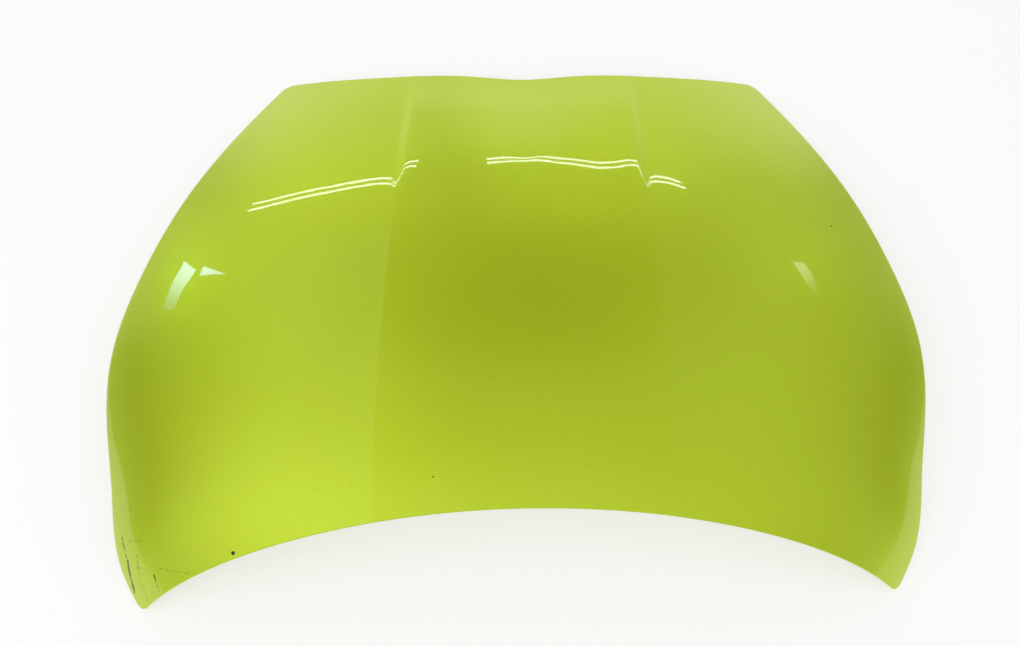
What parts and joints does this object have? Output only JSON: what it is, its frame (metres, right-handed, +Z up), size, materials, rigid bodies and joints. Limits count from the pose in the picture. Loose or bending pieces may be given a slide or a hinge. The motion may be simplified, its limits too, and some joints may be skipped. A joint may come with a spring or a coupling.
{
  "type": "car bonnet",
  "caption": "Domed sheet-steel bonnet for a small car: painted skin hemmed round a stamped inner frame, with hinge pads, striker loop and rubber buffers",
  "frame": {"origin": "under the middle of the bonnet, on the flat ground that its corners stand on", "axes": "+X to the car's left, -Y to its nose, +Z up out of the painted skin"},
  "size_m": [1.4134, 1.0576, 0.1986],
  "materials": {
    "paint": "glossy lime green with a clear coat over fine pearl",
    "frame_paint": "satin lime green, base coat without clear coat",
    "zinc_steel": "zinc plated",
    "rubber": "matt black",
    "nylon": "black moulded nylon",
    "mastic": "dark grey mastic",
    "sealer": "brushed-on seam sealer, painted over"
  },
  "bodies": {
    "root": {"outer_skin": "paint", "inner_frame": "frame_paint", "hem_sealer": "sealer", "hinge_reinforcement_left": "zinc_steel", "hinge_nut_left_front": "zinc_steel", "hinge_nut_left_rear": "zinc_steel", "latch_nut_left": "zinc_steel", "striker_bolt_left": "zinc_steel", "hinge_reinforcement_right": "zinc_steel", "hinge_nut_right_front": "zinc_steel", "hinge_nut_right_rear": "zinc_steel", "latch_nut_right": "zinc_steel", "striker_bolt_right": "zinc_steel", "latch_reinforcement": "zinc_steel", "striker_plate": "zinc_steel", "striker_wire": "zinc_steel", "buffer_front_left": "rubber", "buffer_front_right": "rubber", "buffer_side_left": "rubber", "buffer_side_right": "rubber", "stay_socket": "nylon", "mastic_bead_01": "mastic", "mastic_bead_02": "mastic", "mastic_bead_03": "mastic", "mastic_bead_04": "mastic", "mastic_bead_05": "mastic", "mastic_bead_06": "mastic", "mastic_bead_07": "mastic", "mastic_bead_08": "mastic", "mastic_bead_09": "mastic", "mastic_bead_10": "mastic", "mastic_bead_11": "mastic", "mastic_bead_12": "mastic", "mastic_bead_13": "mastic", "mastic_bead_14": "mastic", "mastic_bead_15": "mastic", "mastic_bead_16": "mastic", "mastic_bead_17": "mastic", "mastic_bead_18": "mastic", "mastic_bead_19": "mastic", "mastic_bead_20": "mastic"}
  },
  "joints": []
}
